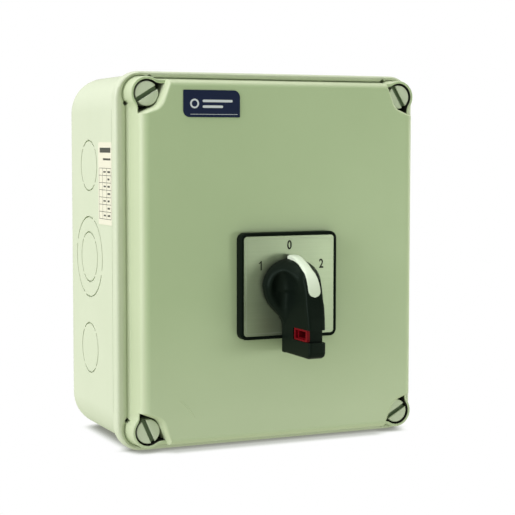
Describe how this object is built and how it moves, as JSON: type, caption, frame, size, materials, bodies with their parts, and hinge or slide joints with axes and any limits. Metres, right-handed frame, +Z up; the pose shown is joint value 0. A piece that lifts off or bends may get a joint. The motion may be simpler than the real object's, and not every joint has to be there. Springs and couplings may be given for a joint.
{
  "type": "enclosed rotary changeover isolator switch",
  "caption": "Moulded surface enclosure with a screwed cover and a square-plate rotary handle turning a shaft that swings rotary contacts in a stacked switch block.",
  "frame": {"origin": "centre of the enclosure's flat back face, the face that goes against the wall", "axes": "+X to the right seen from the front, +Y out of the back into the wall, +Z up; the cover and handle face -Y"},
  "size_m": [0.15, 0.1175, 0.169],
  "materials": {
    "box_plastic": "satin moulded pale grey-green plastic with a very fine moulding texture",
    "cover_plastic": "satin moulded pale grey-green plastic",
    "black_plastic": "semi-gloss black moulded plastic",
    "white_plastic": "satin white moulded inlay",
    "red_plastic": "semi-gloss red moulded plastic",
    "silver_plate": "fine satin silver printed plate",
    "screw_plastic": "satin grey-green moulded screw head with faint turning marks",
    "navy_badge": "smooth printed navy foil",
    "paper_label": "printed matt white foil label",
    "rubber": "matt sealing rubber",
    "deck_plastic": "matt dark grey glass-filled moulding",
    "rotor_plastic": "natural ivory thermoset moulding",
    "zinc_steel": "bright zinc-plated steel",
    "brass": "bright stamped brass",
    "copper": "bright stamped copper"
  },
  "bodies": {
    "enclosure": {"enclosure_base": "box_plastic", "din_rail": "zinc_steel", "rail_screw_left": "zinc_steel", "rail_screw_right": "zinc_steel", "earth_terminal_bar": "brass", "earth_terminal_screw": "zinc_steel", "rating_label": "paper_label", "rail_foot": "deck_plastic", "pole_deck_1": "deck_plastic", "pole_deck_2": "deck_plastic", "pole_deck_3": "deck_plastic", "detent_housing": "deck_plastic", "tie_bolt_left": "zinc_steel", "tie_bolt_right": "zinc_steel", "detent_spring_left": "zinc_steel", "detent_spring_right": "zinc_steel", "contact_common_1": "brass", "terminal_screw_common_1": "zinc_steel", "contact_supply_1_1": "brass", "terminal_screw_supply_1_1": "zinc_steel", "contact_supply_2_1": "brass", "terminal_screw_supply_2_1": "zinc_steel", "contact_common_2": "brass", "terminal_screw_common_2": "zinc_steel", "contact_supply_1_2": "brass", "terminal_screw_supply_1_2": "zinc_steel", "contact_supply_2_2": "brass", "terminal_screw_supply_2_2": "zinc_steel", "contact_common_3": "brass", "terminal_screw_common_3": "zinc_steel", "contact_supply_1_3": "brass", "terminal_screw_supply_1_3": "zinc_steel", "contact_supply_2_3": "brass", "terminal_screw_supply_2_3": "zinc_steel"},
    "rotor": {"drive_shaft": "zinc_steel", "detent_star": "rotor_plastic", "rotor_1": "rotor_plastic", "rotor_2": "rotor_plastic", "rotor_3": "rotor_plastic", "contact_blade_1": "copper", "contact_blade_2": "copper", "contact_blade_3": "copper"},
    "cover": {"enclosure_cover": "cover_plastic", "cover_gasket": "rubber", "name_badge": "navy_badge", "escutcheon_frame": "black_plastic", "escutcheon_plate": "silver_plate", "escutcheon_gasket": "rubber", "front_screw_1": "zinc_steel", "front_screw_2": "zinc_steel", "shaft_seal": "rubber"},
    "handle": {"handle": "black_plastic", "handle_pointer": "white_plastic", "handle_clip": "zinc_steel"},
    "padlock_slide": {"padlock_slide": "red_plastic"},
    "cover_screw_tl": {"cover_screw_tl": "screw_plastic"},
    "cover_screw_tr": {"cover_screw_tr": "screw_plastic"},
    "cover_screw_bl": {"cover_screw_bl": "screw_plastic"},
    "cover_screw_br": {"cover_screw_br": "screw_plastic"}
  },
  "joints": [
    {"name": "cover_lift", "type": "slide", "parent": "enclosure", "child": "cover", "axis": [0, -1, 0], "range_m": [0, 0.075]},
    {"name": "handle_turn", "type": "hinge", "parent": "cover", "child": "handle", "pos_m": [0.0012, -0.0897, -0.011], "axis": [0, -1, 0], "range_deg": [-60, 60]},
    {"name": "shaft_turn", "type": "hinge", "parent": "enclosure", "child": "rotor", "pos_m": [0.0012, -0.06, -0.011], "axis": [0, -1, 0], "range_deg": [-60, 60]},
    {"name": "padlock_slide_push", "type": "slide", "parent": "handle", "child": "padlock_slide", "axis": [0, 1, 0], "range_m": [0, 0.0032]},
    {"name": "cover_screw_tl_turn", "type": "hinge", "parent": "cover", "child": "cover_screw_tl", "pos_m": [-0.063, -0.0788, 0.0745], "axis": [0, -1, 0], "range_deg": [0, 90]},
    {"name": "cover_screw_tr_turn", "type": "hinge", "parent": "cover", "child": "cover_screw_tr", "pos_m": [0.063, -0.0788, 0.0745], "axis": [0, -1, 0], "range_deg": [0, 90]},
    {"name": "cover_screw_bl_turn", "type": "hinge", "parent": "cover", "child": "cover_screw_bl", "pos_m": [-0.063, -0.0788, -0.0745], "axis": [0, -1, 0], "range_deg": [0, 90]},
    {"name": "cover_screw_br_turn", "type": "hinge", "parent": "cover", "child": "cover_screw_br", "pos_m": [0.063, -0.0788, -0.0745], "axis": [0, -1, 0], "range_deg": [0, 90]}
  ],
  "couplings": [
    {"joint": "shaft_turn", "follows": "handle_turn", "ratio": 1}
  ]
}
